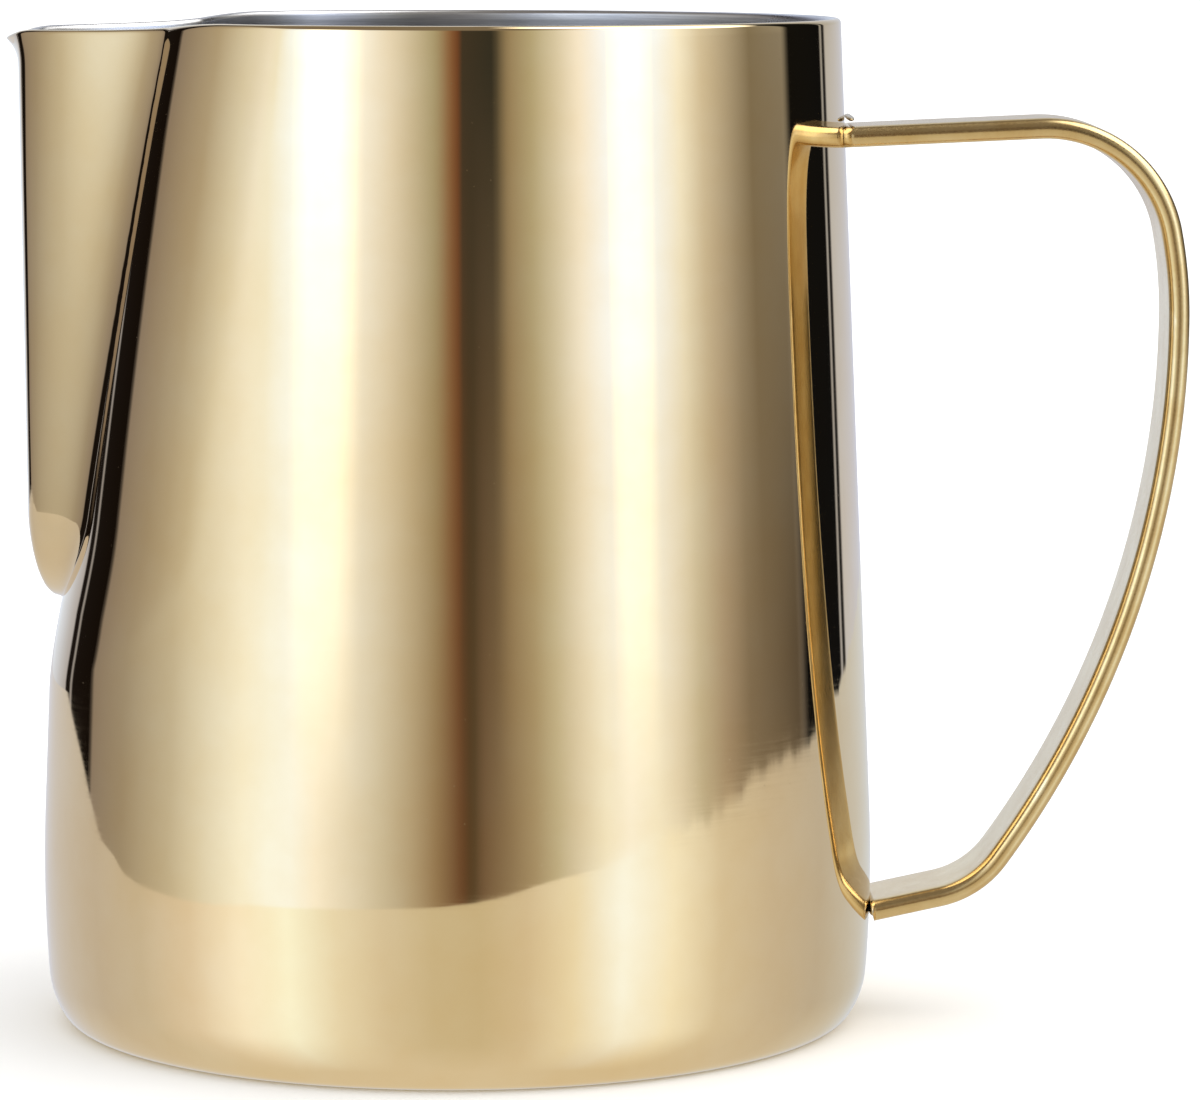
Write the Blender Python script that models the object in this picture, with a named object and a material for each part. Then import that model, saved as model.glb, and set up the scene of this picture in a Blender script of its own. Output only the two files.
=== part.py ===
"""Milk frothing jug: a drawn one-piece body with a pressed pouring spout, and a welded strap handle.

Metres, +Z up. The origin is the centre of the flat underside, on the body's axis.
The spout points along -X and the handle along +X.
"""

from math import atan2, cos, hypot, pi, radians, sin, sqrt, tan

import bmesh
import bpy
from mathutils import Matrix, Vector

# Body, turned profile
BODY_HEIGHT = 0.1084
BELLY_RADIUS = 0.045
WALL = 0.0010
WALL_LEAN = radians(2.42)
BELLY_ARC = 0.152
BELLY_TUCK = radians(4.3)
CORNER_ARC = 0.009
CORNER_TURN = radians(33.0)
BASE_EDGE_ARC = 0.0026

# Spout, pressed out of the wall
SPOUT_ROOT_HEIGHT = 0.0459
SPOUT_ROOT_ROUNDING = 0.0101
SPOUT_REACH_AT_RIM = 0.0057
SPOUT_REACH_AT_ROOT = 0.0024
SPOUT_HALF_WIDTH_AT_RIM = 0.0279
SPOUT_HALF_WIDTH_AT_ROOT = 0.0157
SPOUT_NOSE_BLUNTING_AT_RIM = 0.0012
SPOUT_NOSE_BLUNTING_AT_ROOT = 0.0022
SPOUT_NOSE_ROUNDING = 0.00022
FLANK_DIP_AT_RIM = 0.0035
FLANK_DIP_AT_ROOT = 0.0011
FLANK_DIP_WIDTH_AT_RIM = 0.0196
FLANK_DIP_WIDTH_AT_ROOT = 0.0236
FLANK_DIP_FALL = 1.43
FLANK_DIP_FALL_BELOW = 1.11
FLANK_FULLNESS = 2.37
FLANK_SWEEP = 2.64
LIP_FLARE = 0.0016
LIP_FLARE_DEPTH = 0.0042
LIP_CURL = 1.8
LIP_WIDTH = 0.0100
LIP_DROOP = 0.0010
MOUTH_DROOP = 0.0011
MOUTH_DROOP_DEPTH = 0.0120
MOUTH_HALF_WIDTH = 0.0395

# Strap handle
STRAP_WIDTH = 0.0123
STRAP_THICKNESS = 0.00225
STRAP_EDGE_ROUNDING = 0.00105
HANDLE_TOP_DROP = 0.0126
HANDLE_TOP_RISE = radians(2.6)
HANDLE_TOP_RUN = 0.0208
HANDLE_TOP_BEND = 0.0137
HANDLE_SHOULDER_TURN = radians(10.9)
HANDLE_SHOULDER_BEND = 0.0493
HANDLE_BACK_TURN = radians(35.8)
HANDLE_LOW_BEND = 0.0105
HANDLE_LOW_HEIGHT = 0.0136
HANDLE_LOW_FALL = radians(12.3)

# Welds and the clearances they leave
WELD_CLEARANCE = 0.0003
UPPER_BEAD_RADIUS = 0.00045
LOWER_BEAD_THICKNESS = 0.0004
LOWER_BEAD_HEIGHT = 0.0011
BEAD_SET_BACK = 0.0010
UPPER_SEAM = WELD_CLEARANCE
LOWER_SEAM = LOWER_BEAD_THICKNESS + 2 * WELD_CLEARANCE

# Facets
BODY_COLUMNS = 72
COLUMN_CROWDING = 0.5
OUTER_RISE_ROWS = (2, 7, 6, 4)
INNER_RISE_ROWS = (2, 5, 4, 3)
EDGE_FACETS = 3
BELLY_FACETS = 2
RIM_FACETS = 4
TOP_BEND_FACETS = 8
SHOULDER_FACETS = 3
BACK_FACETS = 12
LOW_BEND_FACETS = 6
STRAP_EDGE_FACETS = 3
BEAD_FACETS = 8
BEAD_STEPS = 8
WELDED_POINTS = 1e-7


def clear_scene():
    """Remove every object that the file opened with."""
    for old in list(bpy.data.objects):
        bpy.data.objects.remove(old, do_unlink=True)


def metal(name, colour, roughness):
    """A plain metal material."""
    material = bpy.data.materials.new(name)
    material.use_nodes = True
    shader = material.node_tree.nodes["Principled BSDF"]
    shader.inputs["Base Color"].default_value = (*colour, 1.0)
    shader.inputs["Metallic"].default_value = 1.0
    shader.inputs["Roughness"].default_value = roughness
    return material


def finish_object(name, mesh_data, material):
    """Turn a bmesh into a smooth-shaded object of its own."""
    bmesh.ops.recalc_face_normals(mesh_data, faces=mesh_data.faces)
    mesh = bpy.data.meshes.new(name)
    mesh_data.to_mesh(mesh)
    mesh_data.free()
    mesh.shade_smooth()
    mesh.set_sharp_from_angle(angle=radians(40))
    mesh.materials.append(material)
    made = bpy.data.objects.new(name, mesh)
    bpy.context.scene.collection.objects.link(made)
    return made


def facing(turn):
    """Outward direction (radial, height) at a turn below the horizontal."""
    return Vector((cos(turn), -sin(turn)))


def arc(centre, radius, first, last, facets):
    """Points of an arc from one facing to another, both ends included."""
    turns = [first + (last - first) * i / facets for i in range(facets + 1)]
    return [centre + facing(turn) * radius for turn in turns]


def body_side(inset, rise_rows):
    """Half outline (radial, height) from the axis at the base up to the rim's rounding."""
    belly = Vector((BELLY_RADIUS - BELLY_ARC, 0))
    corner = belly + facing(BELLY_TUCK) * (BELLY_ARC - CORNER_ARC)
    edge = corner + facing(CORNER_TURN) * (CORNER_ARC - BASE_EDGE_ARC)
    lift = Vector((0, BASE_EDGE_ARC - edge.y))
    points = [Vector((0, inset))]
    points += arc(edge + lift, BASE_EDGE_ARC - inset, pi / 2, CORNER_TURN, EDGE_FACETS)
    points += arc(corner + lift, CORNER_ARC - inset, CORNER_TURN, BELLY_TUCK, EDGE_FACETS)[1:]
    points += arc(belly + lift, BELLY_ARC - inset, BELLY_TUCK, -WALL_LEAN, BELLY_FACETS)[1:]
    start = points[-1]
    marks = (
        start.y,
        SPOUT_ROOT_HEIGHT - SPOUT_ROOT_ROUNDING / 4,
        SPOUT_ROOT_HEIGHT + SPOUT_ROOT_ROUNDING,
        BODY_HEIGHT - 2 * LIP_FLARE_DEPTH,
        BODY_HEIGHT - WALL / 2,
    )
    for low, high, rows in zip(marks, marks[1:], rise_rows):
        for row in range(1, rows + 1):
            rise = low + (high - low) * row / rows - start.y
            points.append(start + Vector((-rise * tan(WALL_LEAN), rise)))
    return points


def wall_radius(height):
    """Outer radius of the turned body at a height, spout left out."""
    outline = body_side(0, OUTER_RISE_ROWS)[1:]
    for low, high in zip(outline, outline[1:]):
        if low.y <= height <= high.y:
            share = (height - low.y) / (high.y - low.y)
            return low.x + (high.x - low.x) * share
    return outline[-1].x


def smooth_fade(share):
    """1 at a share of 0, 0 at 1 and beyond, level at both ends."""
    share = min(max(share, 0.0), 1.0)
    return (1 - share) ** 2 * (1 + 2 * share)


def from_root_to_rim(height, root_value, rim_value):
    """A value that changes evenly from the spout's root up to the rim."""
    climb = (height - SPOUT_ROOT_HEIGHT) / (BODY_HEIGHT - SPOUT_ROOT_HEIGHT)
    return root_value + (rim_value - root_value) * min(max(climb, 0.0), 1.0)


def spout_push(around, height):
    """How far the spout moves the wall outwards, at a distance around from the nose."""
    reach = from_root_to_rim(height, SPOUT_REACH_AT_ROOT, SPOUT_REACH_AT_RIM)
    half_width = from_root_to_rim(height, SPOUT_HALF_WIDTH_AT_ROOT, SPOUT_HALF_WIDTH_AT_RIM)
    blunting = from_root_to_rim(height, SPOUT_NOSE_BLUNTING_AT_ROOT, SPOUT_NOSE_BLUNTING_AT_RIM)
    dip = from_root_to_rim(height, FLANK_DIP_AT_ROOT, FLANK_DIP_AT_RIM)
    dip_width = from_root_to_rim(height, FLANK_DIP_WIDTH_AT_ROOT, FLANK_DIP_WIDTH_AT_RIM)
    below = (SPOUT_ROOT_HEIGHT + SPOUT_ROOT_ROUNDING - height) / SPOUT_ROOT_ROUNDING
    below = max(below, 0.0)
    if below < 1:
        share = around / half_width / sqrt(1 - below**2)
        if share < 1:
            flank = (1 - share**FLANK_FULLNESS) ** FLANK_SWEEP
            keen = (reach + blunting + dip) * flank - dip
            blunt = (keen + reach - hypot(keen - reach, SPOUT_NOSE_ROUNDING)) / 2
            return (blunt + dip) * sqrt(1 - below**2) - dip
    side = around / half_width
    away = hypot(side, below)
    quickness = side**2 * half_width / dip_width + below**2 * FLANK_DIP_FALL_BELOW
    return -dip * max(1 - (away - 1) * quickness / away**2, 0.0) ** FLANK_DIP_FALL


def press_spout(point):
    """Place of a body point after the spout is pressed and the lip turned over."""
    radius = hypot(point.x, point.y)
    if radius < WALL:
        return point
    turn = atan2(point.y, -point.x)
    turn -= COLUMN_CROWDING * sin(turn)
    around = abs(turn) * wall_radius(point.z)
    moved = radius + spout_push(around, point.z)
    depth = BODY_HEIGHT - point.z
    nose = smooth_fade(around / LIP_WIDTH)
    curl = max(1 - depth / LIP_FLARE_DEPTH, 0.0) ** LIP_CURL
    mouth = smooth_fade((around / MOUTH_HALF_WIDTH) ** 2) * smooth_fade(depth / MOUTH_DROOP_DEPTH)
    moved += LIP_FLARE * nose * curl
    sunk = MOUTH_DROOP * mouth + LIP_DROOP * nose * curl
    return Vector((-moved * cos(turn), moved * sin(turn), point.z - sunk))


def spun(points, steps):
    """A bmesh turned right round +Z from (radial, height) points."""
    shape = bmesh.new()
    ring = [shape.verts.new((p.x, 0, p.y)) for p in points]
    for pair in zip(ring, ring[1:]):
        shape.edges.new(pair)
    bmesh.ops.spin(
        shape,
        geom=shape.verts[:] + shape.edges[:],
        axis=(0, 0, 1),
        cent=(0, 0, 0),
        angle=2 * pi,
        steps=steps,
        use_merge=True,
    )
    bmesh.ops.remove_doubles(shape, verts=shape.verts, dist=WELDED_POINTS)
    return shape


def make_body(material):
    """One drawn sheet: outside, rounded rim and inside, with the spout pressed into it."""
    outside = body_side(0, OUTER_RISE_ROWS)
    inside = body_side(WALL, INNER_RISE_ROWS)
    rim_centre = (outside[-1] + inside[-1]) / 2
    rim_radius = (outside[-1] - inside[-1]).length / 2
    rim = arc(rim_centre, rim_radius, 0, -pi, RIM_FACETS)[1:-1]
    shape = spun(outside + rim + inside[::-1], BODY_COLUMNS)
    for vertex in shape.verts:
        vertex.co = press_spout(vertex.co)
    return finish_object("jug_body", shape, material)


def bend_on(route, radius, first, last, facets):
    """Carry a route on round an arc that starts at its last point."""
    centre = route[-1] - facing(first) * radius
    route += arc(centre, radius, first, last, facets)[1:]


def handle_route():
    """Centre line (x, z) of the strap: top run, top bend, shoulder, back, low bend, low run."""
    overlap = 2 * WELD_CLEARANCE + STRAP_THICKNESS
    top_height = BODY_HEIGHT - HANDLE_TOP_DROP
    along = Vector((cos(HANDLE_TOP_RISE), sin(HANDLE_TOP_RISE)))
    start = Vector((wall_radius(top_height) - overlap, top_height))
    route = [start, start + along * (HANDLE_TOP_RUN + overlap)]
    top_turn = -pi / 2 - HANDLE_TOP_RISE
    bend_on(route, HANDLE_TOP_BEND, top_turn, -HANDLE_SHOULDER_TURN, TOP_BEND_FACETS)
    bend_on(route, HANDLE_SHOULDER_BEND, -HANDLE_SHOULDER_TURN, 0, SHOULDER_FACETS)
    low_turn = pi / 2 - HANDLE_LOW_FALL
    back_end = HANDLE_LOW_HEIGHT + HANDLE_LOW_BEND * (sin(low_turn) - sin(HANDLE_BACK_TURN))
    back_bend = (route[-1].y - back_end) / sin(HANDLE_BACK_TURN)
    bend_on(route, back_bend, 0, HANDLE_BACK_TURN, BACK_FACETS)
    bend_on(route, HANDLE_LOW_BEND, HANDLE_BACK_TURN, low_turn, LOW_BEND_FACETS)
    inward = Vector((-cos(HANDLE_LOW_FALL), -sin(HANDLE_LOW_FALL)))
    run = route[-1].x - wall_radius(HANDLE_LOW_HEIGHT) + overlap
    route.append(route[-1] + inward * run / cos(HANDLE_LOW_FALL))
    return route


def wall_cutter(name, centre_height, seam):
    """Hidden solid that trims a strap end to the wall, a seam's width away from it."""
    half_height = 2 * STRAP_THICKNESS
    heights = [centre_height - half_height, centre_height, centre_height + half_height]
    side = [Vector((wall_radius(h) + seam, h)) for h in heights]
    outline = [Vector((0, heights[0])), *side, Vector((0, heights[-1]))]
    cutter = finish_object(name, spun(outline, 2 * BODY_COLUMNS), metal(name, (1, 0, 0), 0.5))
    cutter.hide_render = True
    cutter.display_type = "WIRE"
    return cutter


def make_handle(route, material):
    """A flat strap bent to the route, its long edges rounded, its ends cut to the wall."""
    shape = bmesh.new()
    line = [shape.verts.new((p.x, -STRAP_WIDTH / 2, p.y)) for p in route]
    edges = [shape.edges.new(pair) for pair in zip(line, line[1:])]
    pulled = bmesh.ops.extrude_edge_only(shape, edges=edges)["geom"]
    far_side = [item for item in pulled if isinstance(item, bmesh.types.BMVert)]
    bmesh.ops.translate(shape, verts=far_side, vec=(0, STRAP_WIDTH, 0))
    handle = finish_object("strap_handle", shape, material)
    solidify = handle.modifiers.new("strap thickness", "SOLIDIFY")
    solidify.thickness = STRAP_THICKNESS
    solidify.offset = 0
    solidify.use_even_offset = True
    rounding = handle.modifiers.new("rounded edges", "BEVEL")
    rounding.width = STRAP_EDGE_ROUNDING
    rounding.segments = STRAP_EDGE_FACETS
    rounding.limit_method = "ANGLE"
    rounding.angle_limit = radians(60)
    for end, height, seam in (
        ("upper", route[0].y, UPPER_SEAM),
        ("lower", route[-1].y, LOWER_SEAM),
    ):
        trim = handle.modifiers.new(f"{end} end cut", "BOOLEAN")
        trim.operation = "DIFFERENCE"
        trim.solver = "EXACT"
        trim.object = wall_cutter(f"{end}_end_cutter", height, seam)
    return handle


def make_bead(name, radius, height, half_thickness, half_height, material):
    """A weld bead that follows the wall across the strap's width."""
    half_turn = (STRAP_WIDTH / 2 - BEAD_SET_BACK) / radius
    shape = bmesh.new()
    bmesh.ops.create_circle(shape, cap_ends=True, segments=BEAD_FACETS, radius=1.0)
    bmesh.ops.scale(shape, vec=(half_thickness, half_height, 1), verts=shape.verts)
    bmesh.ops.rotate(shape, matrix=Matrix.Rotation(pi / 2, 3, "X"), verts=shape.verts)
    bmesh.ops.translate(shape, vec=(radius, 0, height), verts=shape.verts)
    bmesh.ops.rotate(shape, matrix=Matrix.Rotation(-half_turn, 3, "Z"), verts=shape.verts)
    bmesh.ops.spin(
        shape,
        geom=shape.verts[:] + shape.edges[:] + shape.faces[:],
        axis=(0, 0, 1),
        cent=(0, 0, 0),
        angle=2 * half_turn,
        steps=BEAD_STEPS,
    )
    return finish_object(name, shape, material)


def make_upper_bead(route, material):
    """Fillet bead in the corner between the wall and the strap's top face."""
    corner_height = route[0].y + STRAP_THICKNESS / 2 / cos(HANDLE_TOP_RISE)
    height = corner_height + WELD_CLEARANCE + UPPER_BEAD_RADIUS
    radius = wall_radius(corner_height) + WELD_CLEARANCE + UPPER_BEAD_RADIUS
    climb = (UPPER_SEAM + 2 * UPPER_BEAD_RADIUS + STRAP_THICKNESS) * sin(HANDLE_TOP_RISE)
    return make_bead(
        "upper_weld_bead", radius, height + climb, UPPER_BEAD_RADIUS, UPPER_BEAD_RADIUS, material
    )


def make_lower_bead(route, material):
    """Seam bead between the wall and the strap's lower end."""
    height = route[-1].y
    radius = wall_radius(height) + LOWER_SEAM / 2
    return make_bead(
        "lower_weld_bead",
        radius,
        height,
        LOWER_BEAD_THICKNESS / 2,
        LOWER_BEAD_HEIGHT / 2,
        material,
    )


def main():
    """Build the jug."""
    clear_scene()
    polished_gold = metal("polished_gold", (0.72, 0.55, 0.29), 0.08)
    satin_gold = metal("satin_gold", (0.66, 0.47, 0.22), 0.32)
    weld_gold = metal("weld_gold", (0.55, 0.42, 0.24), 0.4)
    route = handle_route()
    pieces = [
        make_body(polished_gold),
        make_handle(route, satin_gold),
        make_upper_bead(route, weld_gold),
        make_lower_bead(route, weld_gold),
    ]
    jug = bpy.data.objects.new("jug", None)
    bpy.context.scene.collection.objects.link(jug)
    for piece in pieces:
        piece.parent = jug


main()
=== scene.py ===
import logging
import math
from dataclasses import dataclass
from enum import Enum
from typing import Optional

import bmesh
import bpy
from mathutils import Matrix, Vector


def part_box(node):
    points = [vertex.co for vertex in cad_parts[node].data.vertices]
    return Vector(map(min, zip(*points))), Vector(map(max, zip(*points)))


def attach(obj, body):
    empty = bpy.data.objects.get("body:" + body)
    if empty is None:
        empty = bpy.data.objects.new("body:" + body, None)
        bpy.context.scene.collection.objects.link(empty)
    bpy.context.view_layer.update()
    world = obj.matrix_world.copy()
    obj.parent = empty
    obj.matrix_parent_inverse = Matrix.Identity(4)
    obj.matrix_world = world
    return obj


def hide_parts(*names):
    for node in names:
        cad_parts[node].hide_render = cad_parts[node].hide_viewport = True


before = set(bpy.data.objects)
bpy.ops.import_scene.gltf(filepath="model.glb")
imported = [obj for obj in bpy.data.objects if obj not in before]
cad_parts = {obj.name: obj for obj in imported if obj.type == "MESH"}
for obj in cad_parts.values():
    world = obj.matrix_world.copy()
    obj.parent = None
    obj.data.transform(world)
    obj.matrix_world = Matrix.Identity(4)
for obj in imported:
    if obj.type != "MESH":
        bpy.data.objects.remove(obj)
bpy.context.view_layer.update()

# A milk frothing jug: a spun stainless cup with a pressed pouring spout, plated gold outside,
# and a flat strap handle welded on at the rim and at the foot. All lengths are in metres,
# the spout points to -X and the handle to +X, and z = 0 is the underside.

MM = 0.001
ACROSS = Vector((0.0, 1.0, 0.0))
log = logging.getLogger("frothing_jug")

CONTRAST = {"From Min": 0.3, "From Max": 0.7}    # the range that nearly all of a noise lies in

Stops = tuple[tuple[float, str], ...]


class Side(Enum):
    """The two faces of the cup's wall, as places in its list of materials."""

    OUTSIDE = 0
    INSIDE = 1


# --------------------------------------------------------------------------- small tools


def linear(code: str) -> tuple[float, float, float, float]:
    """Turn an sRGB hex code into a linear colour.

    Args:
        code: six hex digits, without a hash sign.

    Returns:
        Red, green, blue and an alpha of 1.
    """
    parts = [int(code[place:place + 2], 16) / 255 for place in (0, 2, 4)]
    bright = [part / 12.92 if part <= 0.04045 else ((part + 0.055) / 1.055) ** 2.4 for part in parts]
    return bright[0], bright[1], bright[2], 1.0


def add(tree: bpy.types.NodeTree, kind: str, inputs: Optional[dict] = None,
        **settings: object) -> bpy.types.Node:
    """Add one shader node with its settings and its links.

    Args:
        tree: the node tree that gets the node.
        kind: the node's class name after "ShaderNode".
        inputs: values or output sockets by the name or number of the input they go to.
        settings: properties of the node itself.

    Returns:
        The new node.
    """
    node = tree.nodes.new("ShaderNode" + kind)
    for name, value in settings.items():
        setattr(node, name, value)
    for name, value in (inputs or {}).items():
        if isinstance(value, bpy.types.NodeSocket):
            tree.links.new(value, node.inputs[name])
        else:
            node.inputs[name].default_value = value
    return node


def paint_ramp(ramp: bpy.types.ColorRamp, stops: Stops, first: float = 0.0, last: float = 1.0) -> None:
    """Set a colour ramp's stops.

    Args:
        ramp: the ramp to fill.
        stops: places and hex colours, in order.
        first: the place that stands for the ramp's 0.
        last: the place that stands for the ramp's 1.
    """
    while len(ramp.elements) > 1:
        ramp.elements.remove(ramp.elements[-1])
    for number, (place, code) in enumerate(stops):
        share = (place - first) / (last - first)
        stop = ramp.elements[0] if number == 0 else ramp.elements.new(share)
        stop.position = share
        stop.color = linear(code)


def facing(turn: float) -> Vector:
    """The outward direction in the plane y = 0, turned down from straight out."""
    return Vector((math.cos(turn), 0.0, -math.sin(turn)))


def fade(share: float) -> float:
    """Fall smoothly from 1 at 0 to 0 at 1."""
    share = min(max(share, 0.0), 1.0)
    return (1.0 - share) ** 2 * (1.0 + 2.0 * share)


class Sweep:
    """A vertex or a whole section drawn along a line in the plane y = 0, bend by bend."""

    def __init__(self, mesh: bmesh.types.BMesh, tip: Vector, end: list) -> None:
        """Start a sweep.

        Args:
            mesh: the mesh that the sweep draws in.
            tip: where the line starts.
            end: the vertex, or the section's vertices, edges and face, at the tip.
        """
        self.mesh, self.tip, self.end = mesh, tip.copy(), end

    def _spin(self, centre: Vector, turn: float, step: Vector, rows: int) -> list:
        """Draw the end on by a turn or by straight steps.

        Args:
            centre: a point on the turn's axis.
            turn: the whole turn, outward side down, or 0 for a straight run.
            step: the move that each step makes.
            rows: how many steps there are.

        Returns:
            The new vertices.
        """
        before = set(self.mesh.verts)
        self.end = bmesh.ops.spin(
            self.mesh, geom=self.end, cent=centre, axis=ACROSS, dvec=step, angle=turn, steps=rows
        )["geom_last"]
        return [vertex for vertex in self.mesh.verts if vertex not in before]

    def run(self, to: Vector, rows: int = 1) -> list:
        """Go straight to a point.

        Args:
            to: the point.
            rows: how many steps it takes.

        Returns:
            The new vertices.
        """
        new = self._spin(self.tip, 0.0, (to - self.tip) / rows, rows)
        self.tip = to.copy()
        return new

    def bend(self, radius: float, first: float, last: float, rows: int) -> list:
        """Go round a bend.

        Args:
            radius: the bend's radius.
            first: the outward turn at its start.
            last: the outward turn at its end.
            rows: how many steps it takes.

        Returns:
            The new vertices.
        """
        centre = self.tip - facing(first) * radius
        new = self._spin(centre, last - first, Vector(), rows)
        self.tip = centre + facing(last) * radius
        return new


def finish_piece(mesh: bmesh.types.BMesh, name: str, node: str,
                 materials: list[bpy.types.Material]) -> bpy.types.Object:
    """Close a piece's mesh and put it in place of its CAD node.

    Args:
        mesh: the piece's mesh, which is freed.
        name: the piece's name.
        node: the CAD node it stands for.
        materials: its materials, in the order of its faces' numbers.

    Returns:
        The piece.
    """
    for face in mesh.faces:
        face.smooth = True
    data = bpy.data.meshes.new(name)
    mesh.to_mesh(data)
    mesh.free()
    for material in materials:
        data.materials.append(material)
    piece = bpy.data.objects.new(name, data)
    bpy.context.scene.collection.objects.link(piece)
    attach(piece, "root")
    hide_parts(node)
    return piece


# --------------------------------------------------------------------------- finishes


class Finish:
    """A metal finish: its node tree starts here, and each kind of finish dresses it."""

    def _start(self, name: str) -> tuple[
            bpy.types.Material, bpy.types.NodeTree, bpy.types.Node, bpy.types.NodeSocket]:
        """Make an empty metal material.

        Args:
            name: the material's name.

        Returns:
            The material, its node tree, its shader and its Object coordinates.
        """
        material = bpy.data.materials.new(name)
        material.use_nodes = True
        tree = material.node_tree
        tree.nodes.clear()
        shader = add(tree, "BsdfPrincipled", {"Metallic": 1.0})
        add(tree, "OutputMaterial", {"Surface": shader.outputs["BSDF"]})
        place = add(tree, "TexCoord").outputs["Object"]
        return material, tree, shader, place

    @staticmethod
    def _noise(tree: bpy.types.NodeTree, place: bpy.types.NodeSocket, size: tuple[float, float, float],
               detail: float = 3.0, roughness: float = 0.5) -> bpy.types.NodeSocket:
        """Make noise whose grains have a real size.

        Args:
            tree: the material's node tree.
            place: the Object coordinates.
            size: a grain's size along each axis.
            detail: how many finer layers the noise has.
            roughness: how strong the finer layers are.

        Returns:
            The noise, centred on 0.5.
        """
        scaled = add(tree, "Mapping", {"Vector": place, "Scale": tuple(1.0 / part for part in size)})
        return add(tree, "TexNoise", {
            "Vector": scaled.outputs[0], "Scale": 1.0, "Detail": detail, "Roughness": roughness,
        }).outputs["Fac"]


@dataclass(frozen=True)
class PolishedGold(Finish):
    """PVD titanium-nitride gold on polished stainless steel.

    It gives the eye a pale gold mirror. The polishing wheel's rings stay under the plating and
    draw bright edges out a little, up and down, and the pressed wall is very slightly wavy.
    """

    gold: str = "eedbb5"
    warm: str = "ebd3a6"
    gloss: tuple[float, float] = (0.02, 0.045)
    ring: float = 0.35 * MM      # the real rings are 0.05 mm apart, too fine to show
    ring_depth: float = 0.00006 * MM
    ripple: float = 7.0 * MM
    ripple_depth: float = 0.006 * MM
    cloud: float = 16.0 * MM
    ring_length: float = 9.0 * MM
    streak: float = 0.012        # how much duller or brighter a ring is than the next
    speck_spacing: float = 1.6 * MM
    speck: tuple[float, float] = (0.03, 0.05)    # its dull middle and its edge, as shares of that
    speck_dullness: float = 0.16

    def material(self) -> bpy.types.Material:
        """Build the material.

        Returns:
            The material.
        """
        material, tree, shader, place = self._start("pvd_gold_polished_stainless")
        clouds = self._noise(tree, place, (self.cloud,) * 3, 4.0, 0.6)
        colour = add(tree, "Mix", {
            "Factor": add(tree, "MapRange", {"Value": clouds, **CONTRAST}).outputs["Result"],
            6: linear(self.gold), 7: linear(self.warm),
        }, data_type="RGBA")
        tree.links.new(colour.outputs[2], shader.inputs["Base Color"])

        rings = self._noise(tree, place, (self.ring_length, self.ring_length, self.ring), 2.0, 0.6)
        specks = add(tree, "TexVoronoi", {"Vector": place, "Scale": 1.0 / self.speck_spacing})
        dust = add(tree, "MapRange", {
            "Value": specks.outputs["Distance"], "From Min": self.speck[0], "From Max": self.speck[1],
            "To Min": self.speck_dullness, "To Max": 0.0,
        })
        haze = add(tree, "MapRange", {
            "Value": clouds, **CONTRAST, "To Min": self.gloss[0], "To Max": self.gloss[1]})
        streaks = add(tree, "MapRange", {
            "Value": rings, **CONTRAST, "To Min": -self.streak, "To Max": self.streak})
        streaked = add(tree, "Math", {0: haze.outputs[0], 1: streaks.outputs[0]}, operation="ADD")
        rough = add(tree, "Math", {0: streaked.outputs[0], 1: dust.outputs[0]}, operation="ADD")
        tree.links.new(rough.outputs[0], shader.inputs["Roughness"])

        ripples = self._noise(tree, place, (self.ripple, self.ripple, 1.6 * self.ripple), 1.0)
        wavy = add(tree, "Bump", {"Height": ripples, "Distance": self.ripple_depth, "Strength": 1.0})
        ringed = add(tree, "Bump", {
            "Height": rings, "Distance": self.ring_depth, "Strength": 1.0, "Normal": wavy.outputs[0]})
        tree.links.new(ringed.outputs[0], shader.inputs["Normal"])
        return material


@dataclass(frozen=True)
class TurnedSteel(Finish):
    """Stainless steel brushed on a lathe.

    It gives the eye a soft grey sheen with fine level lines, which show as light and dark streaks.
    """

    steel: str = "e2e2e4"
    dark: str = "bcbdc1"
    gloss: tuple[float, float] = (0.24, 0.36)
    line: float = 0.16 * MM      # real brushing is about 0.03 mm wide, too fine to show
    line_length: float = 14.0 * MM
    line_depth: float = 0.0035 * MM
    patch: float = 11.0 * MM

    def material(self) -> bpy.types.Material:
        """Build the material.

        Returns:
            The material.
        """
        material, tree, shader, place = self._start("brushed_stainless")
        lines = self._noise(tree, place, (self.line_length, self.line_length, self.line), 3.0, 0.7)
        patches = self._noise(tree, place, (self.patch,) * 3, 3.0)
        colour = add(tree, "Mix", {
            "Factor": add(tree, "MapRange", {"Value": lines, **CONTRAST}).outputs["Result"],
            6: linear(self.steel), 7: linear(self.dark),
        }, data_type="RGBA")
        tree.links.new(colour.outputs[2], shader.inputs["Base Color"])
        rough = add(tree, "MapRange", {
            "Value": patches, **CONTRAST, "To Min": self.gloss[0], "To Max": self.gloss[1]})
        tree.links.new(rough.outputs[0], shader.inputs["Roughness"])
        brushed = add(tree, "Bump", {"Height": lines, "Distance": self.line_depth, "Strength": 0.7})
        tree.links.new(brushed.outputs[0], shader.inputs["Normal"])
        return material


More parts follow.
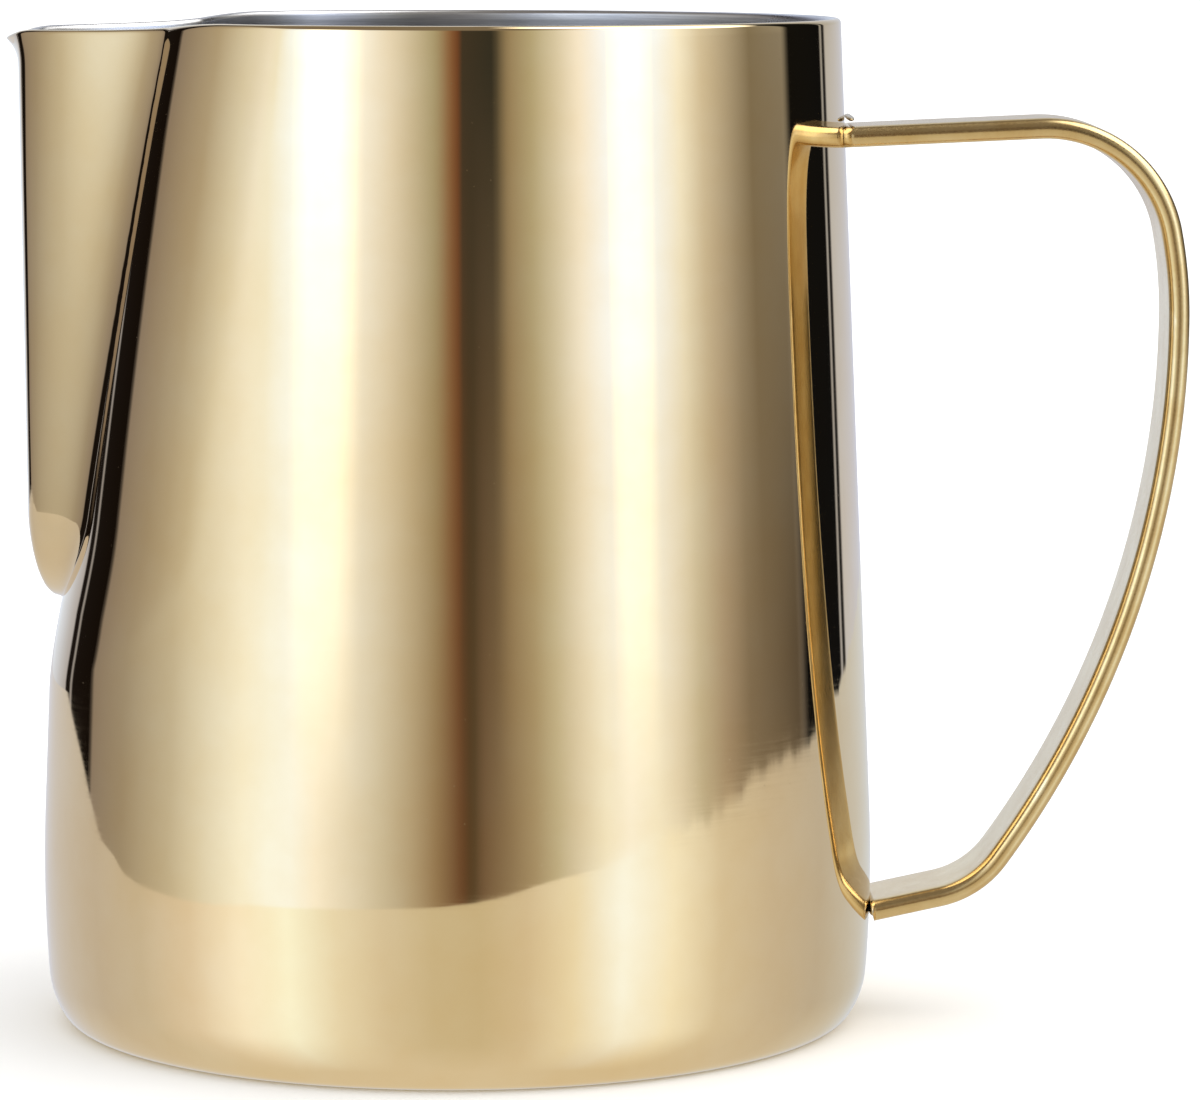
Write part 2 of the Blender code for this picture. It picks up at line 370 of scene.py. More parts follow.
@dataclass(frozen=True)
class SatinGold(Finish):
    """PVD titanium-nitride gold on satin-tumbled stainless strap.

    It gives the eye a deeper, softer gold than the polished cup, with a fine grain from the
    tumbling, and lighter rounded edges: a painted highlight.
    """

    gold: str = "e3cd9c"
    deep: str = "d6b981"
    # the colour of the painted highlight on the strap's sharp rounded edges
    edge_highlight: str = "eddcb4"
    gloss: tuple[float, float] = (0.17, 0.27)
    grain: float = 0.22 * MM     # the tumbling marks are 0.05 mm wide, too fine to show
    grain_depth: float = 0.004 * MM
    cloud: float = 5.0 * MM
    highlight_sharpness: tuple[float, float] = (0.52, 0.60)     # from how sharp an edge the painted highlight begins and is full
    most_highlight: float = 0.6

    def material(self) -> bpy.types.Material:
        """Build the material.

        Returns:
            The material.
        """
        material, tree, shader, place = self._start("pvd_gold_satin_stainless")
        clouds = self._noise(tree, place, (self.cloud,) * 3, 4.0, 0.6)
        grain = self._noise(tree, place, (self.grain,) * 3, 2.0, 0.7)
        body = add(tree, "Mix", {
            "Factor": add(tree, "MapRange", {"Value": clouds, **CONTRAST}).outputs["Result"],
            6: linear(self.gold), 7: linear(self.deep),
        }, data_type="RGBA")
        # sharp rounded edges are painted lighter by their pointiness: a painted highlight
        edge = add(tree, "MapRange", {
            "Value": add(tree, "NewGeometry").outputs["Pointiness"],
            "From Min": self.highlight_sharpness[0], "From Max": self.highlight_sharpness[1], "To Max": self.most_highlight,
        })
        colour = add(tree, "Mix", {
            "Factor": edge.outputs[0], 6: body.outputs[2], 7: linear(self.edge_highlight),
        }, data_type="RGBA")
        tree.links.new(colour.outputs[2], shader.inputs["Base Color"])
        rough = add(tree, "MapRange", {
            "Value": grain, **CONTRAST, "To Min": self.gloss[0], "To Max": self.gloss[1]})
        tree.links.new(rough.outputs[0], shader.inputs["Roughness"])
        grained = add(tree, "Bump", {"Height": grain, "Distance": self.grain_depth, "Strength": 0.8})
        tree.links.new(grained.outputs[0], shader.inputs["Normal"])
        return material


@dataclass(frozen=True)
class WeldMetal(Finish):
    """Stainless weld metal under the gold plating.

    It gives the eye a bright, uneven little nugget, greyer than the strap, with heat-dulled
    patches between its ripples.
    """

    bright: str = "dcd2bb"
    dull: str = "9c8f7c"
    gloss: tuple[float, float] = (0.16, 0.4)
    lump: float = 0.5 * MM
    lump_depth: float = 0.03 * MM

    def material(self) -> bpy.types.Material:
        """Build the material.

        Returns:
            The material.
        """
        material, tree, shader, place = self._start("plated_weld_metal")
        lumps = self._noise(tree, place, (self.lump,) * 3, 3.0)
        colour = add(tree, "Mix", {
            "Factor": add(tree, "MapRange", {"Value": lumps, **CONTRAST}).outputs["Result"],
            6: linear(self.bright), 7: linear(self.dull),
        }, data_type="RGBA")
        tree.links.new(colour.outputs[2], shader.inputs["Base Color"])
        rough = add(tree, "MapRange", {
            "Value": lumps, **CONTRAST, "To Min": self.gloss[0], "To Max": self.gloss[1]})
        tree.links.new(rough.outputs[0], shader.inputs["Roughness"])
        lumpy = add(tree, "Bump", {"Height": lumps, "Distance": self.lump_depth, "Strength": 0.6})
        tree.links.new(lumpy.outputs[0], shader.inputs["Normal"])
        return material


# --------------------------------------------------------------------------- the cup


@dataclass
class Cup:
    """The spun cup with its pressed spout, as one thin wall with a rolled lip.

    The outside is a foot arc, a corner arc, a belly arc and a straight wall that leans in. The
    spout's pairs of sizes hold at its root and at the rim, and change evenly between. Beside and
    below the spout the wall dips, and at the rim the spout's tip flares out and droops.
    """

    height: float = 0.1084
    belly_radius: float = 0.04497
    wall: float = 0.001
    lean: float = math.radians(2.42)
    belly_arc: float = 0.152
    belly_tuck: float = math.radians(4.3)
    corner_arc: float = 0.009
    corner_turn: float = math.radians(33)
    foot_arc: float = 0.0026
    lip_roll: float = 1.1        # how much taller than round the lip is
    plated_lip: float = 0.62     # how far over the lip the plating goes, as a share of the wall
    columns: int = 256
    crowding: float = 0.5        # draws the columns together at the spout
    root_height: float = 0.0459
    root_rounding: float = 0.0101
    reach: tuple[float, float] = (0.0024, 0.0057)
    half_width: tuple[float, float] = (0.0157, 0.0279)
    blunting: tuple[float, float] = (0.0022, 0.0012)
    nose: float = 0.00022
    dip: tuple[float, float] = (0.0011, 0.0035)
    dip_width: tuple[float, float] = (0.0236, 0.0196)
    dip_fall: float = 1.43
    dip_fall_below: float = 1.11
    fullness: float = 2.37
    sweep: float = 2.64
    flare: float = 0.0016
    flare_depth: float = 0.0042
    curl: float = 1.8
    lip_width: float = 0.0100
    lip_droop: float = 0.0010
    mouth_droop: float = 0.0011
    mouth_depth: float = 0.0120
    mouth_half_width: float = 0.0395

    def centres(self) -> tuple[Vector, Vector, Vector]:
        """Find the centres of the three arcs that the wall stands on.

        Returns:
            The centres of the belly's, the corner's and the foot's arcs.
        """
        belly = Vector((self.belly_radius - self.belly_arc, 0.0, 0.0))
        corner = belly + facing(self.belly_tuck) * (self.belly_arc - self.corner_arc)
        foot = corner + facing(self.corner_turn) * (self.corner_arc - self.foot_arc)
        lift = Vector((0.0, 0.0, self.foot_arc - foot.z))
        return belly + lift, corner + lift, foot + lift

    def wall_foot(self, inset: float) -> Vector:
        """Where the straight wall starts, at a depth under the outside."""
        return self.centres()[0] + facing(-self.lean) * (self.belly_arc - inset)

    def wall_radius(self, height: float) -> float:
        """The straight wall's outside radius at a height."""
        start = self.wall_foot(0.0)
        return start.x - (height - start.z) * math.tan(self.lean)

    def draw_side(self, mesh: bmesh.types.BMesh) -> None:
        """Draw the cup's half section, outside first, then over the lip and down the inside.

        The rings are closest where the spout's root is pressed out and where its tip flares.

        Args:
            mesh: the empty mesh that the section is drawn in.
        """
        foot = self.centres()[2]
        line = Sweep(mesh, Vector(), [mesh.verts.new((0.0, 0.0, 0.0))])
        line.run(Vector((foot.x, 0.0, 0.0)), 12)
        line.bend(self.foot_arc, math.pi / 2, self.corner_turn, 8)
        line.bend(self.corner_arc, self.corner_turn, self.belly_tuck, 8)
        line.bend(self.belly_arc, self.belly_tuck, -self.lean, 24)
        lip_start = self.height - self.wall * self.lip_roll / 2
        for top, rows in (
            (self.root_height - 0.5 * self.root_rounding, 16),
            (self.root_height - 0.5 * MM, 9),
            (self.root_height + 2.0 * MM, 16),
            (self.root_height + self.root_rounding, 18),
            (self.height - 2 * self.flare_depth, 50),
            (lip_start, 12),
        ):
            line.run(Vector((self.wall_radius(top), 0.0, top)), rows)
        base = line.tip.copy()
        lip = line.bend(self.wall / 2, 0.0, -math.pi, 14)
        bmesh.ops.scale(mesh, vec=(1.0, 1.0, self.lip_roll), space=Matrix.Translation(-base), verts=lip)
        for top, rows in (
            (self.height - 2 * self.flare_depth, 12),
            (self.root_height + self.root_rounding, 40),
            (self.root_height - self.root_rounding, 26),
        ):
            line.run(Vector((self.wall_radius(top) - self.wall / math.cos(self.lean), 0.0, top)), rows)
        line.run(self.wall_foot(self.wall), 12)
        line.bend(self.belly_arc - self.wall, -self.lean, self.belly_tuck, 20)
        line.bend(self.corner_arc - self.wall, self.belly_tuck, self.corner_turn, 6)
        line.bend(self.foot_arc - self.wall, self.corner_turn, math.pi / 2, 6)
        line.run(Vector((0.0, 0.0, self.wall)), 12)

    def spout_push(self, around: float, height: float) -> float:
        """How far the press moves the wall out.

        Args:
            around: the distance round the wall from the spout's middle line.
            height: the height above the underside.

        Returns:
            The move away from the axis, below 0 in the dips beside the spout.
        """
        climb = min(max((height - self.root_height) / (self.height - self.root_height), 0.0), 1.0)
        reach, half_width, blunting, dip, dip_width = (
            low + (top - low) * climb
            for low, top in (self.reach, self.half_width, self.blunting, self.dip, self.dip_width))
        below = max((self.root_height + self.root_rounding - height) / self.root_rounding, 0.0)
        if below < 1.0:
            depth = math.sqrt(1.0 - below ** 2)
            share = around / half_width / depth
            if share < 1.0:
                keen = (reach + blunting + dip) * (1.0 - share ** self.fullness) ** self.sweep - dip
                blunt = (keen + reach - math.hypot(keen - reach, self.nose)) / 2
                return (blunt + dip) * depth - dip
        side = around / half_width
        away = math.hypot(side, below)
        quickness = side ** 2 * half_width / dip_width + below ** 2 * self.dip_fall_below
        return -dip * max(1.0 - (away - 1.0) * quickness / away ** 2, 0.0) ** self.dip_fall

    def press(self, place: Vector) -> Vector:
        """Find where a point of the spun cup is once the spout is pressed.

        Args:
            place: the point before.

        Returns:
            The point after.
        """
        radius = math.hypot(place.x, place.y)
        if radius < self.wall_radius(self.height) / 2:
            return place
        turn = math.atan2(place.y, -place.x)
        turn -= self.crowding * math.sin(turn)
        around = abs(turn) * self.wall_radius(place.z)
        moved = radius
        sunk = 0.0
        if place.z > self.root_height - 2 * self.root_rounding:
            depth = self.height - place.z
            nose = fade(around / self.lip_width)
            curl = max(1.0 - depth / self.flare_depth, 0.0) ** self.curl
            mouth = fade((around / self.mouth_half_width) ** 2) * fade(depth / self.mouth_depth)
            moved += self.spout_push(around, place.z) + self.flare * nose * curl
            sunk = self.mouth_droop * mouth + self.lip_droop * nose * curl
        return Vector((-moved * math.cos(turn), moved * math.sin(turn), place.z - sunk))

    def split(self, mesh: bmesh.types.BMesh) -> None:
        """Give the plated outside and the bare inside their own materials.

        Args:
            mesh: the spun cup, before the spout is pressed.
        """
        lip_start = self.height - self.wall * self.lip_roll / 2
        for face in mesh.faces:
            middle = face.calc_center_median()
            radius = math.hypot(middle.x, middle.y)
            middle_radius = self.wall_foot(self.wall / 2).x
            if middle.z > self.wall_foot(0.0).z:
                middle_radius = self.wall_radius(middle.z) - self.wall / 2
            outside = radius > middle_radius or middle.z < self.wall / 2
            if middle.z < self.wall_foot(0.0).z:
                outside = face.normal.z < 0 or face.normal.dot(Vector((middle.x, middle.y, 0))) > 0
            if middle.z > lip_start:
                outside = radius > self.wall_radius(middle.z) - self.plated_lip * self.wall
            face.material_index = Side.OUTSIDE.value if outside else Side.INSIDE.value

    def build(self, outside: Finish, inside: Finish) -> bpy.types.Object:
        """Spin, close, plate and press the cup.

        Args:
            outside: the finish of the outside and the lip.
            inside: the finish of the inside.

        Returns:
            The finished piece.
        """
        mesh = bmesh.new()
        self.draw_side(mesh)
        bmesh.ops.spin(mesh, geom=mesh.verts[:] + mesh.edges[:], cent=(0, 0, 0), axis=(0, 0, 1),
                       angle=2 * math.pi, steps=self.columns, use_merge=True)
        bmesh.ops.remove_doubles(mesh, verts=mesh.verts, dist=0.001 * MM)
        bmesh.ops.recalc_face_normals(mesh, faces=mesh.faces)
        mesh.normal_update()
        self.split(mesh)
        for vertex in mesh.verts:
            vertex.co = self.press(vertex.co)
        return finish_piece(mesh, "polished_cup", "jug_body",
                            [outside.material(), inside.material()])


# --------------------------------------------------------------------------- the handle


@dataclass
class StrapHandle:
    """The flat strap, bent in one plane from under the rim out, down and back in to the foot.

    The bends' radii are those of the strap's middle line. Its top end is scribed to the wall.
    """

    cup: Cup
    width: float = 0.0123
    thickness: float = 0.00225
    edge_rounding: float = 0.00105
    top_drop: float = 0.0126
    top_rise: float = math.radians(2.6)
    top_run: float = 0.0208
    top_bend: float = 0.0137
    shoulder_turn: float = math.radians(10.9)
    shoulder_bend: float = 0.0493
    back_turn: float = math.radians(35.8)
    low_bend: float = 0.0105
    low_height: float = 0.0136
    low_fall: float = math.radians(12.3)
    rim_gap: float = 0.04 * MM
    foot_gap: float = 0.05 * MM

    def section(self, mesh: bmesh.types.BMesh, tip: Vector, turn: float) -> list:
        """Make the strap's rounded section, square to the line it is drawn along.

        Args:
            mesh: the strap's mesh.
            tip: the section's middle.
            turn: the outward turn there.

        Returns:
            The section's vertices, edges and face.
        """
        bmesh.ops.create_grid(mesh, x_segments=1, y_segments=1, size=0.5)
        bmesh.ops.scale(mesh, vec=(self.thickness, self.width, 1.0), verts=mesh.verts)
        bmesh.ops.bevel(mesh, geom=mesh.verts[:], offset=self.edge_rounding, offset_type="OFFSET",
                        affect="VERTICES", segments=7, profile=0.5, material=-1)
        longest = sorted(mesh.edges, key=lambda edge: edge.calc_length())[-2:]
        bmesh.ops.subdivide_edges(mesh, edges=longest, cuts=7)
        out = facing(turn)
        along = out.cross(ACROSS)
        axes = Matrix((out, ACROSS, along)).transposed().to_4x4()
        bmesh.ops.transform(mesh, matrix=Matrix.Translation(tip) @ axes, verts=mesh.verts)
        return mesh.verts[:] + mesh.edges[:] + mesh.faces[:]

    def build(self, finish: Finish) -> bpy.types.Object:
        """Bend the strap from the rim to the foot.

        Args:
            finish: the strap's finish.

        Returns:
            The finished piece.
        """
        mesh = bmesh.new()
        top = self.cup.height - self.top_drop
        first = -math.pi / 2 - self.top_rise
        start = Vector((self.cup.wall_radius(top), 0.0, top))
        section = self.section(mesh, start, first)
        line = Sweep(mesh, start, section)
        along = Vector((math.cos(self.top_rise), 0.0, math.sin(self.top_rise)))
        line.run(start + along * self.top_run, 26)
        line.bend(self.top_bend, first, -self.shoulder_turn, 40)
        line.bend(self.shoulder_bend, -self.shoulder_turn, 0.0, 16)
        low_turn = math.pi / 2 - self.low_fall
        back_end = self.low_height + self.low_bend * (math.sin(low_turn) - math.sin(self.back_turn))
        back_bend = (line.tip.z - back_end) / math.sin(self.back_turn)
        line.bend(back_bend, 0.0, self.back_turn, 70)
        line.bend(self.low_bend, self.back_turn, low_turn, 24)
        inward = Vector((-math.cos(self.low_fall), 0.0, -math.sin(self.low_fall)))
        reach = (line.tip.x - self.foot_radius(self.low_height)) / math.cos(self.low_fall)
        line.run(line.tip + inward * (reach - self.foot_gap), 16)
        for vertex in section:
            if isinstance(vertex, bmesh.types.BMVert):
                radius = self.cup.wall_radius(vertex.co.z) + self.rim_gap
                vertex.co.x = math.sqrt(radius ** 2 - vertex.co.y ** 2)
        bmesh.ops.recalc_face_normals(mesh, faces=mesh.faces)
        return finish_piece(mesh, "satin_strap", "strap_handle", [finish.material()])

    def foot_radius(self, height: float) -> float:
        """The cup's outside radius where the belly curves in, at a height."""
        belly = self.cup.centres()[0]
        return belly.x + math.sqrt(self.cup.belly_arc ** 2 - (height - belly.z) ** 2)


# --------------------------------------------------------------------------- the welds


@dataclass
class StrapWeld:
    """A short bead laid across the strap, puddle by puddle.

    It lies about the middle of its CAD node, moved by `shift` (out and up) to where it fills the
    notch between the strap and the wall. `thickness` and `tallness` are shares of the node's.
    """

    name: str
    node: str
    length: float
    thickness: float = 1.0
    tallness: float = 1.0
    shift: tuple[float, float] = (0.0, 0.0)
    puddles: int = 9

    def build(self, finish: Finish) -> bpy.types.Object:
        """Lay the bead about the middle of its CAD node.

        Args:
            finish: the weld metal's finish.

        Returns:
            The finished piece.
        """
        low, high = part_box(self.node)
        middle = (low + high) / 2 + Vector((self.shift[0], 0.0, self.shift[1]))
        steps = 6 * self.puddles
        length = self.length
        mesh = bmesh.new()
        bmesh.ops.create_circle(mesh, cap_ends=True, radius=1.0, segments=20)
        bmesh.ops.transform(mesh, verts=mesh.verts, matrix=Matrix.Rotation(math.pi / 2, 4, "X"))
        end = mesh.verts[:] + mesh.edges[:] + mesh.faces[:]
        bmesh.ops.translate(mesh, vec=(0.0, -length / 2, 0.0), verts=mesh.verts)
        for _ in range(steps):
            end = bmesh.ops.spin(mesh, geom=end, cent=(0, 0, 0), axis=(0, 0, 1), angle=0.0,
                                 dvec=(0.0, length / steps, 0.0), steps=1)["geom_last"]
        half = (high - low) / 2 * self.thickness
        for vertex in mesh.verts:
            share = vertex.co.y / length + 0.5
            puddle = abs(math.sin(math.pi * self.puddles * share))
            end_round = math.sqrt(max(1.0 - abs(2 * share - 1) ** 6, 0.0))
            size = end_round * (0.86 + 0.14 * puddle)
            vertex.co.x = middle.x + vertex.co.x * half.x * size
            vertex.co.z = middle.z + vertex.co.z * half.z * self.tallness * size
        bmesh.ops.remove_doubles(mesh, verts=mesh.verts, dist=0.001 * MM)
        bmesh.ops.recalc_face_normals(mesh, faces=mesh.faces)
        return finish_piece(mesh, self.name, self.node, [finish.material()])


# --------------------------------------------------------------------------- the studio


@dataclass(frozen=True)
class Studio:
    """A bright room of white panels with two dark screens, and a pale table.

    Directions round the room are in degrees from the front (-Y), with the right (+X) above 0.
    `upper` and `lower` colour the panels above and below the horizon, `screens` darkens them where
    a screen stands, and `table` colours the table. `table_edge` gives the elevation of the table's
    far edge, in degrees. Between the panels' tops and the softbox the room is dim, as `gap`.
    """

    strength: float = 2.5
    upper: Stops = (
        (-180, "9ea3ad"), (-165, "99a0ab"), (-155, "8e94a2"), (-144, "7c7e8a"), (-121, "615b59"),
        (-95, "7c7871"), (-76, "9b9d9d"), (-62, "aaaeb5"), (-55, "adb3b9"), (-47, "b5c5e2"),
        (-42, "ecf6ff"), (-33, "f1f8ff"), (-26, "b5bdce"), (-18, "a6a8ad"), (-12, "939390"),
        (-5, "787769"), (-0.8, "614835"), (2, "482b1d"), (2.6, "2b2722"), (12, "22221f"),
        (16, "6b6354"), (23, "818073"), (30, "9b9d9d"), (37, "b3b7c3"), (45, "b5c5ea"), (50, "f6faff"),
        (55, "f1f8ff"), (60, "b5c6ea"), (69, "b5bbc3"), (77, "9b9a97"), (97, "5b564c"),
        (180, "90949d"),
    )
    lower: Stops = (
        (-180, "9ea3ad"), (-165, "99a0ab"), (-155, "8e94a2"), (-144, "7c7e8a"), (-121, "615b59"),
        (-105, "6f6b66"), (-85, "8a8985"), (-76, "9b9d9d"), (-60, "b3bbc5"), (-52, "b5c1d3"),
        (-45, "b5c1d5"), (-38, "b4b9c3"), (-31, "a7aaaf"), (-20, "92928f"), (-11, "7e786d"),
        (-5, "6a5e4e"), (2, "4a3527"), (5, "382f22"), (8, "504338"), (15, "63594c"), (22, "766f61"),
        (28, "88877d"), (35, "9ea0a1"), (42, "afb5bc"), (49, "b5bcca"), (57, "b1b7bf"), (64, "a3a5a8"),
        (72, "898882"), (81, "736b63"), (90, "59524a"), (111, "3e3832"), (145, "8a8d99"),
    )
    table: Stops = (
        (-180, "8f9299"), (-164, "90929a"), (-118, "888585"), (-97, "8e8b88"), (-78, "9e9a97"),
        (-61, "b3b5b8"), (-46, "b5bfc5"), (-32, "a6a7a4"), (-19, "99968f"), (-6, "908b7e"),
        (7, "8f8a7d"), (20, "98948d"), (33, "a9aaa7"), (47, "b5c1d4"), (62, "b0b3b3"), (78, "999690"),
        (97, "8e8a86"), (120, "868484"), (161, "8f9398"), (180, "8f9299"),
    )
    screens: Stops = (
        (-180, "ffffff"), (-143.4, "ffffff"), (-143, "2c2622"), (-138.7, "2c2622"), (-138.4, "f0f0f0"),
        (-136.9, "f0f0f0"), (-136.6, "2c2622"), (-122.6, "2c2622"), (-121.6, "ffffff"),
        (113, "ffffff"), (116, "2a2a2a"), (138, "1c1c1c"), (138.4, "f0f0f0"), (139.6, "f0f0f0"),
        (140, "1c1c1c"), (142, "1c1c1c"), (142.6, "ffffff"), (180, "ffffff"),
    )
    table_edge: tuple[tuple[float, float], ...] = (
        (-180, -6.5), (-140, -6.7), (-122.6, -7.0), (-110, -7.5), (-102, -8.5), (-88.7, -9.0),
        (-71.7, -9.2), (-54.7, -8.9), (-42, -8.8), (-1, -8.1), (40, -5.6), (58, -5.4), (71, -5.6),
        (93, -5.7), (117, -6.2), (180, -6.5),
    )
    box: str = "fffdf8"
    box_strength: float = 1.2
    box_centre: tuple[float, float, float] = (0.62, -0.1, 0.78)
    box_edge: tuple[float, float] = (0.84, 0.9)         # cosines of how far it reaches from there
    gap: str = "565049"
    gap_edge: tuple[float, float] = (38.0, 48.0)
    gap_lean: float = 25.0       # how much lower the gap comes in front, and higher behind
    wall_change: tuple[float, float] = (-5.0, 3.0)      # elevations, from the lower to the upper wall
    jag: float = 0.06
    jags: float = 70.0
    torn_from: tuple[float, float] = (0.60, 0.64)       # shares of the way round: right of the front
    edge_depth: float = 12.0     # the table edge's curve holds its depth as a share of this
    edge_blur: float = 0.04
    table_fade: tuple[float, float] = (-16.0, -60.0)
    table_far: str = "98938a"
    white: float = 1.35          # what the eye and the table see, bright enough to clip

    def _ramp(self, tree: bpy.types.NodeTree, share: bpy.types.NodeSocket,
              stops: Stops) -> bpy.types.NodeSocket:
        """Make a colour that goes by the direction round the room.

        Args:
            tree: the world's node tree.
            share: how far round the room a ray points, from the back over the left.
            stops: directions and hex colours.

        Returns:
            The colour.
        """
        node = add(tree, "ValToRGB", {"Fac": share})
        paint_ramp(node.color_ramp, stops, -180, 180)
        return node.outputs["Color"]

    def _paint_walls(self, tree: bpy.types.NodeTree, ray: bpy.types.NodeSocket, front: bpy.types.NodeSocket,
                     share: bpy.types.NodeSocket, climb: bpy.types.NodeSocket) -> bpy.types.NodeSocket:
        """Paint the panels, the dark screens, the gap over them and the softbox.

        Args:
            tree: the world's node tree.
            ray: a ray's direction.
            front: how far it points to the front.
            share: how far round the room it points.
            climb: its elevation in degrees.

        Returns:
            The colour of all that is above the table.
        """
        rise = add(tree, "MapRange", {
            "Value": climb, "From Min": self.wall_change[0], "From Max": self.wall_change[1]})
        walls = add(tree, "Mix", {
            "Factor": rise.outputs["Result"],
            6: self._ramp(tree, share, self.lower), 7: self._ramp(tree, share, self.upper),
        }, data_type="RGBA")
        screened = add(tree, "Mix", {
            "Factor": 1.0, 6: walls.outputs[2], 7: self._ramp(tree, share, self.screens),
        }, data_type="RGBA", blend_type="MULTIPLY")
        leaning = add(tree, "Math", {0: front, 1: self.gap_lean, 2: climb}, operation="MULTIPLY_ADD")
        over = add(tree, "MapRange", {
            "Value": leaning.outputs[0], "From Min": self.gap_edge[0], "From Max": self.gap_edge[1]})
        gapped = add(tree, "Mix", {
            "Factor": over.outputs["Result"], 6: screened.outputs[2], 7: linear(self.gap),
        }, data_type="RGBA")
        lamp = tuple(part * self.box_strength for part in linear(self.box)[:3]) + (1.0,)
        towards = add(tree, "VectorMath", {0: ray, 1: self.box_centre}, operation="DOT_PRODUCT")
        inside = add(tree, "MapRange", {
            "Value": towards.outputs["Value"], "From Min": self.box_edge[0], "From Max": self.box_edge[1]})
        return add(tree, "Mix", {
            "Factor": inside.outputs["Result"], 6: gapped.outputs[2], 7: lamp,
        }, data_type="RGBA").outputs[2]

    def _find_table(self, tree: bpy.types.NodeTree, share: bpy.types.NodeSocket,
                    climb: bpy.types.NodeSocket) -> bpy.types.NodeSocket:
        """Find where the table is, under an edge that is torn on the right.

        Args:
            tree: the world's node tree.
            share: how far round the room a ray points.
            climb: its elevation in degrees.

        Returns:
            1 on the table and 0 above it.
        """
        edge = add(tree, "FloatCurve", {"Value": share})
        curve = edge.mapping.curves[0]
        curve.points[0].location = (0.0, -self.table_edge[0][1] / self.edge_depth)
        curve.points[1].location = (1.0, -self.table_edge[-1][1] / self.edge_depth)
        for place, height in self.table_edge[1:-1]:
            curve.points.new((place + 180) / 360, -height / self.edge_depth)
        edge.mapping.update()
        noise = add(tree, "TexNoise", {"W": share, "Scale": self.jags, "Detail": 4.0},
                    noise_dimensions="1D")
        jags = add(tree, "MapRange", {
            "Value": noise.outputs["Fac"], **CONTRAST, "To Min": -self.jag, "To Max": self.jag})
        torn = add(tree, "MapRange", {
            "Value": share, "From Min": self.torn_from[0], "From Max": self.torn_from[1]})
        tear = add(tree, "Math", {0: jags.outputs[0], 1: torn.outputs[0]}, operation="MULTIPLY")
        raised = add(tree, "Math", {0: tear.outputs[0], 1: climb}, operation="ADD")
        above = add(tree, "Math", {
            0: edge.outputs[0], 1: self.edge_depth, 2: raised.outputs[0]}, operation="MULTIPLY_ADD")
        return add(tree, "MapRange", {
            "Value": above.outputs[0], "From Min": -self.edge_blur, "From Max": self.edge_blur,
            "To Min": 1.0, "To Max": 0.0,
        }).outputs["Result"]

    def light_room(self) -> None:
        """Build the world: what the metal mirrors, and plain white for the eye and the table."""
        world = bpy.data.worlds.new("studio_room")
        bpy.context.scene.world = world
        world.use_nodes = True
        tree = world.node_tree
        tree.nodes.clear()
        ray = add(tree, "TexCoord").outputs["Generated"]
        parts = add(tree, "SeparateXYZ", {0: ray}).outputs
        front = add(tree, "Math", {0: parts["Y"], 1: -1.0}, operation="MULTIPLY").outputs[0]
        angle = add(tree, "Math", {0: parts["X"], 1: front}, operation="ARCTAN2")
        share = add(tree, "MapRange", {
            "Value": angle.outputs[0], "From Min": -math.pi, "From Max": math.pi}).outputs["Result"]
        slope = add(tree, "Math", {0: parts["Z"]}, operation="ARCSINE")
        climb = add(tree, "Math", {
            0: slope.outputs[0], 1: math.degrees(1.0)}, operation="MULTIPLY").outputs[0]

        distance = add(tree, "MapRange", {
            "Value": climb, "From Min": self.table_fade[0], "From Max": self.table_fade[1]})
        table = add(tree, "Mix", {
            "Factor": distance.outputs["Result"],
            6: self._ramp(tree, share, self.table), 7: linear(self.table_far),
        }, data_type="RGBA")
        room = add(tree, "Mix", {
            "Factor": self._find_table(tree, share, climb),
            6: self._paint_walls(tree, ray, front, share, climb), 7: table.outputs[2],
        }, data_type="RGBA")

        mirrored = add(tree, "Background", {"Color": room.outputs[2], "Strength": self.strength})
        seen = add(tree, "Background", {"Color": (1.0, 1.0, 1.0, 1.0), "Strength": self.white})
        path = add(tree, "LightPath")
        plain = add(tree, "Math", {
            0: path.outputs["Is Camera Ray"], 1: path.outputs["Is Diffuse Ray"]}, operation="MAXIMUM")
        both = add(tree, "MixShader", {0: plain.outputs[0], 1: mirrored.outputs[0], 2: seen.outputs[0]})
        add(tree, "OutputWorld", {"Surface": both.outputs[0]})

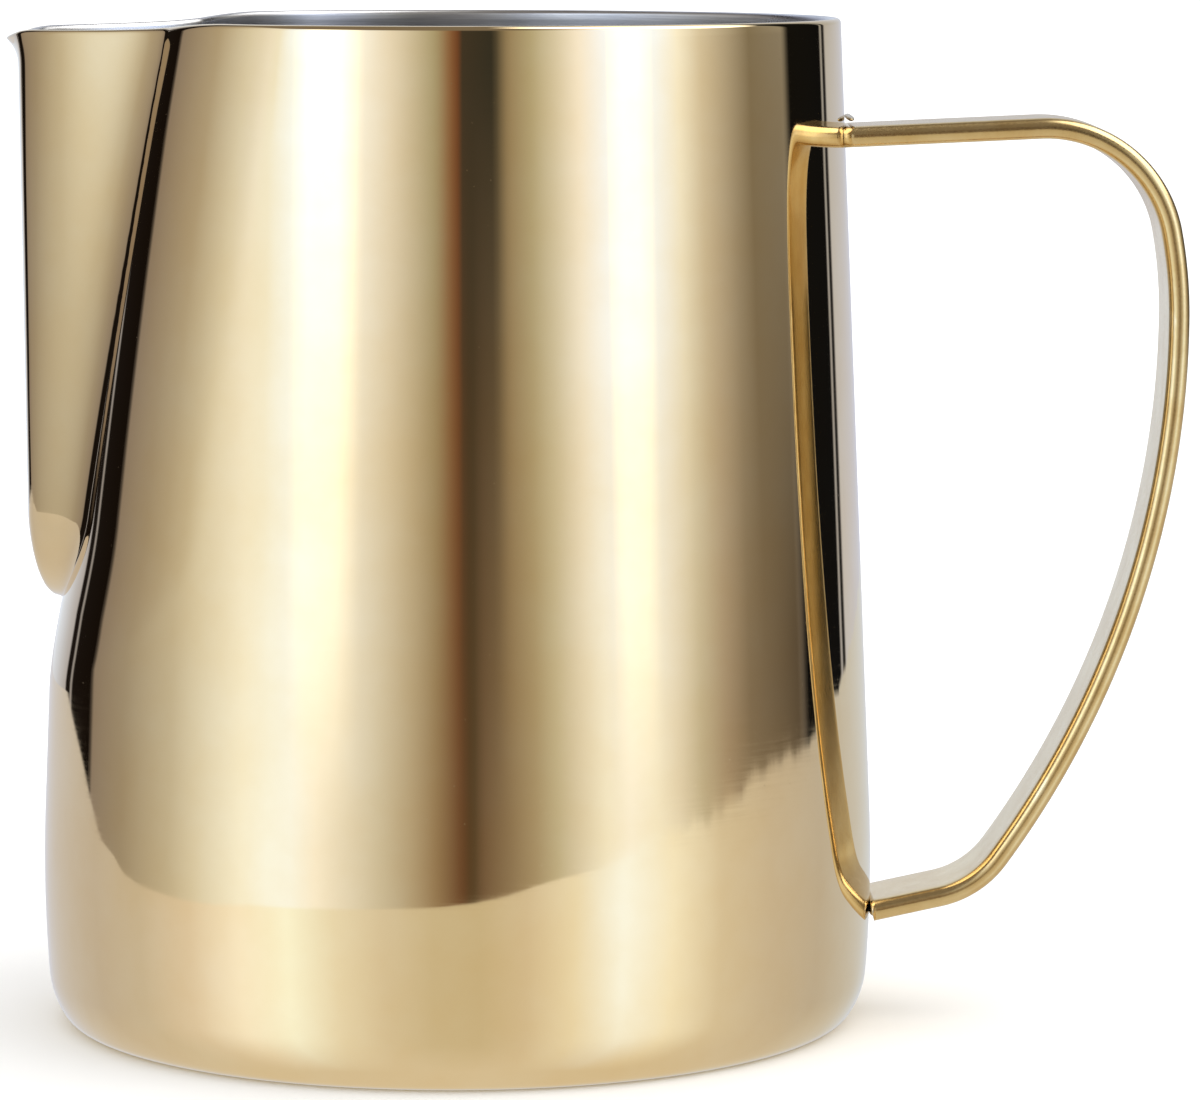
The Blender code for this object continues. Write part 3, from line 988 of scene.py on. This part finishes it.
    def lay_floor(self) -> bpy.types.Object:
        """Lay the pale table top under the jug.

        Returns:
            The table top, which the metal doesn't mirror: it mirrors the room's own table.
        """
        mesh = bmesh.new()
        bmesh.ops.create_grid(mesh, x_segments=8, y_segments=8, size=1.5)
        data = bpy.data.meshes.new("table_top")
        mesh.to_mesh(data)
        mesh.free()
        material = bpy.data.materials.new("matt_white_board")
        material.use_nodes = True
        tree = material.node_tree
        tree.nodes.clear()
        place = add(tree, "TexCoord").outputs["Object"]
        mottle = add(tree, "TexNoise", {"Vector": place, "Scale": 40.0})
        tint = add(tree, "Mix", {
            "Factor": mottle.outputs["Fac"], 6: linear("f7f7f6"), 7: linear("fbfbfb")}, data_type="RGBA")
        shader = add(tree, "BsdfPrincipled", {"Base Color": tint.outputs[2], "Roughness": 0.9})
        add(tree, "OutputMaterial", {"Surface": shader.outputs[0]})
        data.materials.append(material)
        floor = bpy.data.objects.new("table_top", data)
        bpy.context.scene.collection.objects.link(floor)
        floor.visible_glossy = False
        return floor


@dataclass(frozen=True)
class Viewpoint:
    """A long lens a little above the rim, level with the front of the jug."""

    place: tuple[float, float, float] = (0.012395, -0.599907, 0.121318)
    yaw: float = 0.0051
    pitch: float = 0.117
    roll: float = 0.0009
    lens: float = 166.859

    def set_camera(self) -> bpy.types.Object:
        """Make the camera the scene's own.

        Returns:
            The camera.
        """
        ahead = Vector((math.sin(self.yaw) * math.cos(self.pitch),
                        math.cos(self.yaw) * math.cos(self.pitch), -math.sin(self.pitch)))
        level = Vector((math.cos(self.yaw), -math.sin(self.yaw), 0.0))
        upright = level.cross(ahead)
        right = math.cos(self.roll) * level + math.sin(self.roll) * upright
        data = bpy.data.cameras.new("viewpoint")
        data.lens, data.sensor_width = self.lens, 36.0
        data.clip_start, data.clip_end = 0.01, 20.0
        camera = bpy.data.objects.new("viewpoint", data)
        bpy.context.scene.collection.objects.link(camera)
        turned = Matrix((right, right.cross(ahead), -ahead)).transposed().to_4x4()
        camera.matrix_world = Matrix.Translation(self.place) @ turned
        bpy.context.scene.camera = camera
        return camera


def main() -> None:
    """Build the studio and the jug's pieces in order."""
    logging.basicConfig(level=logging.INFO, format="%(message)s")
    bpy.context.scene.view_settings.view_transform = "Standard"
    Viewpoint().set_camera()
    studio = Studio()
    studio.light_room()
    studio.lay_floor()

    cup = Cup()
    weld_metal = WeldMetal()
    pieces = (
        cup.build(PolishedGold(), TurnedSteel()),
        StrapHandle(cup).build(SatinGold()),
        StrapWeld("rim_weld", "upper_weld_bead", 11.6 * MM, 0.62,
                  shift=(-0.1 * MM, -0.12 * MM)).build(weld_metal),
        StrapWeld("foot_weld", "lower_weld_bead", 12.7 * MM, 0.95, 1.5,
                  shift=(-0.22 * MM, 0.75 * MM)).build(weld_metal),
    )
    for piece in pieces:
        triangles = sum(len(face.vertices) - 2 for face in piece.data.polygons)
        log.info("%s: %d triangles, %s", piece.name, triangles, piece.data.materials[0].name)


if __name__ == "__main__":
    main()
